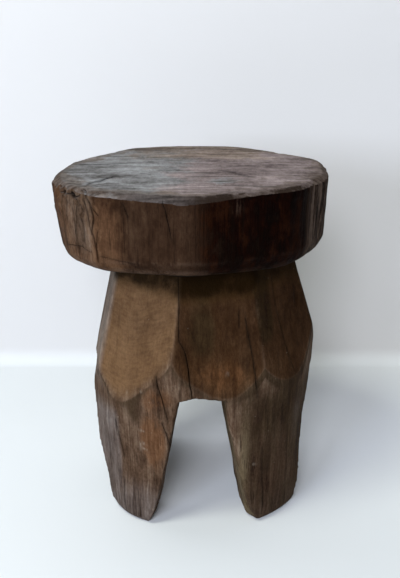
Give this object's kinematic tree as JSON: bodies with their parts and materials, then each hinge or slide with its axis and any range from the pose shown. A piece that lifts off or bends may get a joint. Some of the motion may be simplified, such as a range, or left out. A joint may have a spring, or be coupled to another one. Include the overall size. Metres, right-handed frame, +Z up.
{
  "type": "carved stool",
  "caption": "Low carved wooden stool: a thick hewn round seat tenoned onto a block with flat leaning shoulders, parted by crossing channels into tapering legs.",
  "frame": {"origin": "on the floor, under the middle of the seat's outline", "axes": "+Z up, +X to the right as seen from the front, +Y from the front to the back"},
  "size_m": [0.3177, 0.3213, 0.42],
  "materials": {
    "seat_wood": "weathered dark hardwood, grey worn top, hewn rim with drying cracks",
    "leg_block_wood": "dark hardwood, hewn and rubbed, satin, with drying cracks",
    "wedge_wood": "plain split hardwood, hidden in the joint"
  },
  "bodies": {
    "root": {"seat": "seat_wood", "leg_block": "leg_block_wood", "tenon_wedge_left": "wedge_wood", "tenon_wedge_right": "wedge_wood"}
  },
  "joints": []
}
